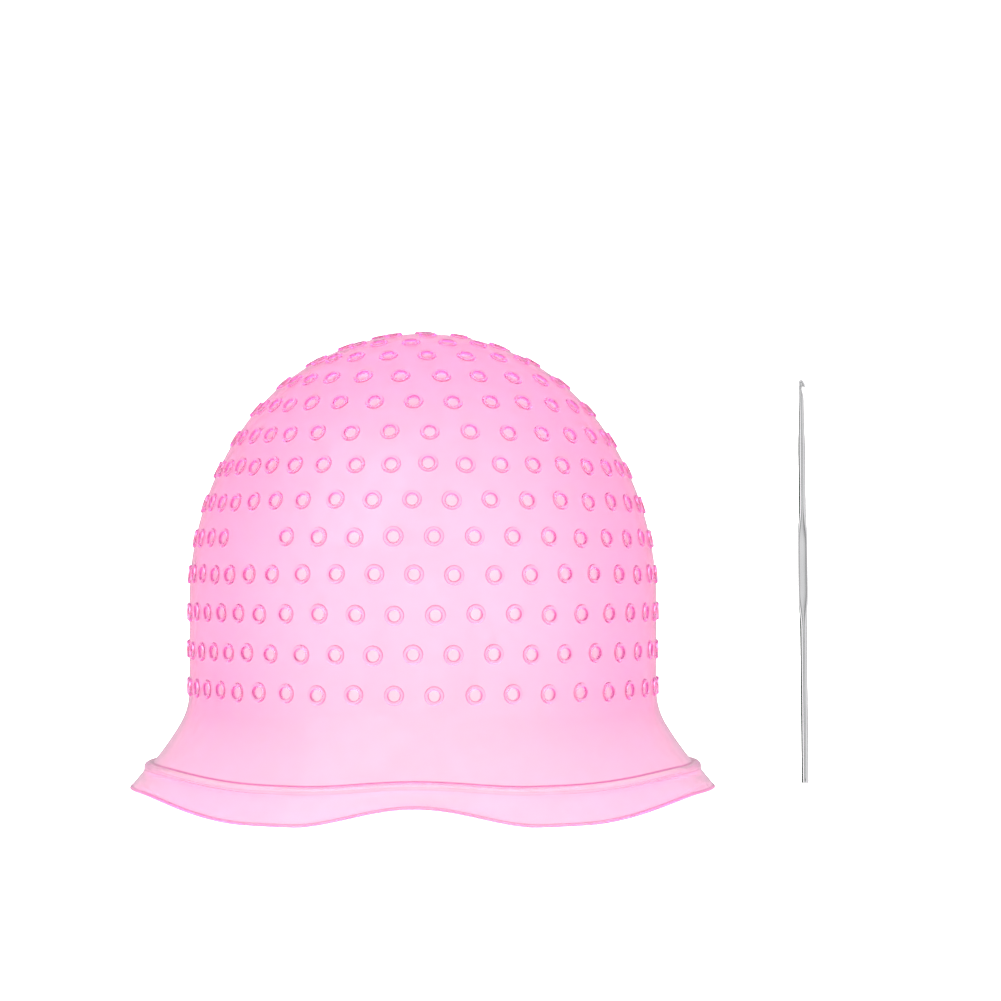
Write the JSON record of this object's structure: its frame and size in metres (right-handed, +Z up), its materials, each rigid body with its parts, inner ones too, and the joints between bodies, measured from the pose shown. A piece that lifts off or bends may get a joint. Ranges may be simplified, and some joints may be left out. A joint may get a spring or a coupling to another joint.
{
  "type": "highlighting cap",
  "caption": "Soft silicone hair-highlighting cap: tall dome with rows of collared pull-through rings, flared skirt, rolled bead and wavy brim, with its steel hook.",
  "frame": {"origin": "on the cap's vertical axis, in the plane that the lowest points of the lip stand on (the middle of the head opening)", "axes": "+Z up through the crown ring, -Y to the front of the cap, +X to the right seen from the front, towards the hook"},
  "size_m": [0.2608, 0.2156, 0.1743],
  "materials": {
    "silicone": "translucent pink silicone, satin",
    "hook_steel": "nickel-plated steel wire, semi-bright"
  },
  "bodies": {
    "cap": {"crown": "silicone", "upper_dome": "silicone", "dome_shoulder": "silicone", "side_wall": "silicone", "flared_skirt": "silicone", "rim_bead": "silicone", "brim_band": "silicone"},
    "hook": {"pull_hook": "hook_steel"}
  },
  "joints": [
    {"name": "hook_lift", "type": "slide", "parent": "cap", "child": "hook", "axis": [0, 0, 1], "range_m": [0, 0.2]}
  ]
}
